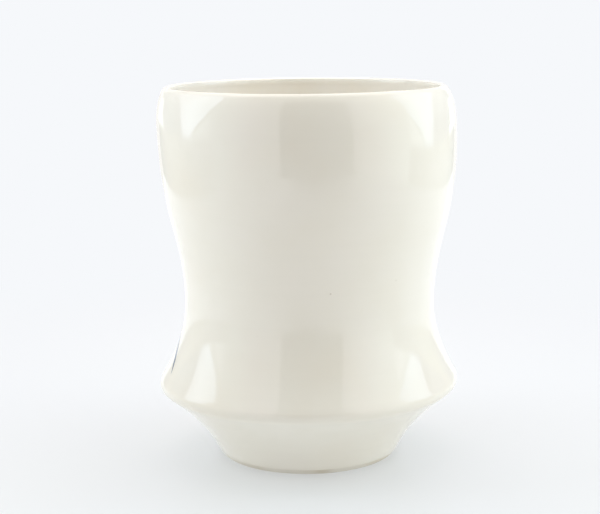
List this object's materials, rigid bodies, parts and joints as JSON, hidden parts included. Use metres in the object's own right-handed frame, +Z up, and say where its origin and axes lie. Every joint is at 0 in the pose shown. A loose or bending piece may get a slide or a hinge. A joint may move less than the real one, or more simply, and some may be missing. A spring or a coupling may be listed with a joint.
{
  "type": "cup",
  "caption": "Handle-less thrown porcelain cup with a drawn-in waist, a flared belly edge over a tapered base, ivory glaze and a small brushed spray.",
  "frame": {"origin": "centre of the foot's flat ring, on the surface that the cup stands on", "axes": "+Z up along the cup's axis of turning, -Y the side that faces the viewer, -X the side with the first brushed blade"},
  "size_m": [0.0894, 0.0894, 0.11],
  "materials": {
    "bare_porcelain": "matte",
    "ivory_glaze": "gloss",
    "liner_glaze": "gloss",
    "slate_blue_stain": "gloss"
  },
  "bodies": {
    "root": {"clay_body": "bare_porcelain", "outer_glaze": "ivory_glaze", "liner_glaze": "liner_glaze", "foot_well_glaze": "ivory_glaze", "brushed_blade_1": "slate_blue_stain", "brushed_blade_2": "slate_blue_stain", "brushed_blade_3": "slate_blue_stain", "brushed_blade_4": "slate_blue_stain", "brushed_blade_5": "slate_blue_stain", "brushed_blade_6": "slate_blue_stain", "brushed_dots": "slate_blue_stain"}
  },
  "joints": []
}
